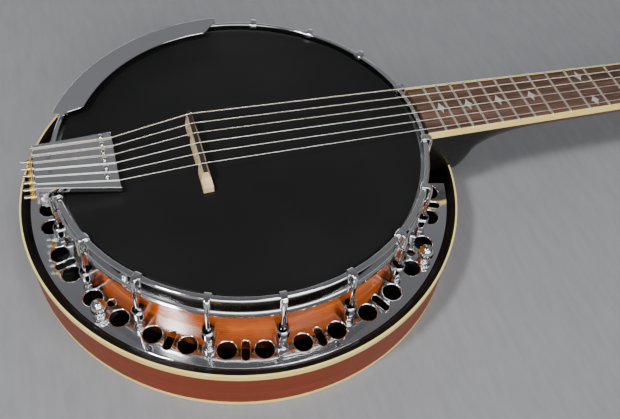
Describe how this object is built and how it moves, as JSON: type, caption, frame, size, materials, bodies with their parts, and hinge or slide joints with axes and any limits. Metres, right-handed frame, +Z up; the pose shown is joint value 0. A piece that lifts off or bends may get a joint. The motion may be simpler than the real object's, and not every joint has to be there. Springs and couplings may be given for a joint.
{
  "type": "resonator banjo",
  "caption": "Resonator banjo with a black head, chrome flange, tension hoop and hooks, armrest, tailpiece, maple bridge, fretted neck and geared tuners that turn.",
  "frame": {"origin": "centre of the pot on the flat back of the resonator, which the banjo lies on", "axes": "+X along the neck towards the headstock, +Z up out of the head, +Y across the head to the bass side"},
  "size_m": [0.9764, 0.3562, 0.1063],
  "materials": {
    "mahogany": "gloss lacquered",
    "lip_black": "gloss black lacquer",
    "binding_cream": "polished",
    "rim_maple": "gloss amber lacquer",
    "bell_bronze": "turned",
    "head_black": "satin film",
    "hoop_metal": "plain",
    "chrome": "mirror polished",
    "zinc_steel": "zinc plated",
    "neck_wood": "gloss lacquer, dark at the heel",
    "rosewood": "oiled",
    "fret_metal": "polished nickel silver",
    "pearl": "pearly",
    "bone": "polished",
    "overlay_black": "gloss",
    "tuner_chrome": "polished",
    "bridge_maple": "bare satin",
    "ebony": "satin",
    "bronze_wound": "wound",
    "plain_steel": "drawn wire",
    "ball_brass": "plain"
  },
  "bodies": {
    "banjo": {"resonator_wall": "mahogany", "resonator_back": "mahogany", "resonator_lugs": "mahogany", "resonator_lip": "lip_black", "binding_top": "binding_cream", "binding_bottom": "binding_cream", "board_binding": "binding_cream", "rim": "rim_maple", "tone_ring": "bell_bronze", "drum_head": "head_black", "flesh_hoop": "hoop_metal", "tension_hoop": "chrome", "hooks": "chrome", "hook_nuts": "chrome", "bracket_shoes": "chrome", "flange": "chrome", "tail_plate": "chrome", "tail_bracket": "chrome", "tail_screws": "chrome", "armrest": "chrome", "armrest_clamps": "chrome", "armrest_screws": "chrome", "shoe_bolts": "zinc_steel", "coordinator_rods": "zinc_steel", "rod_nuts": "zinc_steel", "neck": "neck_wood", "fretboard": "rosewood", "frets": "fret_metal", "inlays": "pearl", "nut": "bone", "headstock_overlay": "overlay_black", "truss_cover": "overlay_black", "tuner_housings": "tuner_chrome", "tuner_bushings": "tuner_chrome", "headstock_screws": "tuner_chrome", "bridge_body": "bridge_maple", "bridge_cap": "ebony", "strings_wound": "bronze_wound", "strings_plain": "plain_steel", "ball_ends": "ball_brass"},
    "key_1": {"tuner_key_1": "tuner_chrome"},
    "post_1": {"tuner_post_1": "tuner_chrome"},
    "key_2": {"tuner_key_2": "tuner_chrome"},
    "post_2": {"tuner_post_2": "tuner_chrome"},
    "key_3": {"tuner_key_3": "tuner_chrome"},
    "post_3": {"tuner_post_3": "tuner_chrome"},
    "key_4": {"tuner_key_4": "tuner_chrome"},
    "post_4": {"tuner_post_4": "tuner_chrome"},
    "key_5": {"tuner_key_5": "tuner_chrome"},
    "post_5": {"tuner_post_5": "tuner_chrome"},
    "key_6": {"tuner_key_6": "tuner_chrome"},
    "post_6": {"tuner_post_6": "tuner_chrome"},
    "thumb_1": {"thumbscrew_1": "chrome"},
    "thumb_2": {"thumbscrew_2": "chrome"},
    "thumb_3": {"thumbscrew_3": "chrome"},
    "thumb_4": {"thumbscrew_4": "chrome"}
  },
  "joints": [
    {"name": "key_1_turn", "type": "hinge", "parent": "banjo", "child": "key_1", "pos_m": [0.68485, 0.024, 0.03369], "axis": [0, 1, 0], "continuous": true},
    {"name": "post_1_turn", "type": "hinge", "parent": "banjo", "child": "post_1", "pos_m": [0.68462, 0.024, 0.05865], "axis": [0.2659, 0, 0.964], "continuous": true},
    {"name": "key_2_turn", "type": "hinge", "parent": "banjo", "child": "key_2", "pos_m": [0.72341, 0.024, 0.02305], "axis": [0, 1, 0], "continuous": true},
    {"name": "post_2_turn", "type": "hinge", "parent": "banjo", "child": "post_2", "pos_m": [0.72318, 0.024, 0.04801], "axis": [0.2659, 0, 0.964], "continuous": true},
    {"name": "key_3_turn", "type": "hinge", "parent": "banjo", "child": "key_3", "pos_m": [0.76197, 0.024, 0.01242], "axis": [0, 1, 0], "continuous": true},
    {"name": "post_3_turn", "type": "hinge", "parent": "banjo", "child": "post_3", "pos_m": [0.76174, 0.024, 0.03738], "axis": [0.2659, 0, 0.964], "continuous": true},
    {"name": "key_4_turn", "type": "hinge", "parent": "banjo", "child": "key_4", "pos_m": [0.68485, -0.024, 0.03369], "axis": [0, -1, 0], "continuous": true},
    {"name": "post_4_turn", "type": "hinge", "parent": "banjo", "child": "post_4", "pos_m": [0.68462, -0.024, 0.05865], "axis": [0.2659, 0, 0.964], "continuous": true},
    {"name": "key_5_turn", "type": "hinge", "parent": "banjo", "child": "key_5", "pos_m": [0.72341, -0.024, 0.02305], "axis": [0, -1, 0], "continuous": true},
    {"name": "post_5_turn", "type": "hinge", "parent": "banjo", "child": "post_5", "pos_m": [0.72318, -0.024, 0.04801], "axis": [0.2659, 0, 0.964], "continuous": true},
    {"name": "key_6_turn", "type": "hinge", "parent": "banjo", "child": "key_6", "pos_m": [0.76197, -0.024, 0.01242], "axis": [0, -1, 0], "continuous": true},
    {"name": "post_6_turn", "type": "hinge", "parent": "banjo", "child": "post_6", "pos_m": [0.76174, -0.024, 0.03738], "axis": [0.2659, 0, 0.964], "continuous": true},
    {"name": "thumb_1_turn", "type": "hinge", "parent": "banjo", "child": "thumb_1", "pos_m": [0.1193, 0.10856, 0.0433], "axis": [0, 0, 1], "continuous": true},
    {"name": "thumb_2_turn", "type": "hinge", "parent": "banjo", "child": "thumb_2", "pos_m": [-0.12933, 0.0964, 0.0433], "axis": [0, 0, 1], "continuous": true},
    {"name": "thumb_3_turn", "type": "hinge", "parent": "banjo", "child": "thumb_3", "pos_m": [-0.12933, -0.0964, 0.0433], "axis": [0, 0, 1], "continuous": true},
    {"name": "thumb_4_turn", "type": "hinge", "parent": "banjo", "child": "thumb_4", "pos_m": [0.1193, -0.10856, 0.0433], "axis": [0, 0, 1], "continuous": true}
  ],
  "couplings": [
    {"joint": "post_1_turn", "follows": "key_1_turn", "ratio": 0.066667},
    {"joint": "post_2_turn", "follows": "key_2_turn", "ratio": 0.066667},
    {"joint": "post_3_turn", "follows": "key_3_turn", "ratio": 0.066667},
    {"joint": "post_4_turn", "follows": "key_4_turn", "ratio": 0.066667},
    {"joint": "post_5_turn", "follows": "key_5_turn", "ratio": 0.066667},
    {"joint": "post_6_turn", "follows": "key_6_turn", "ratio": 0.066667}
  ]
}
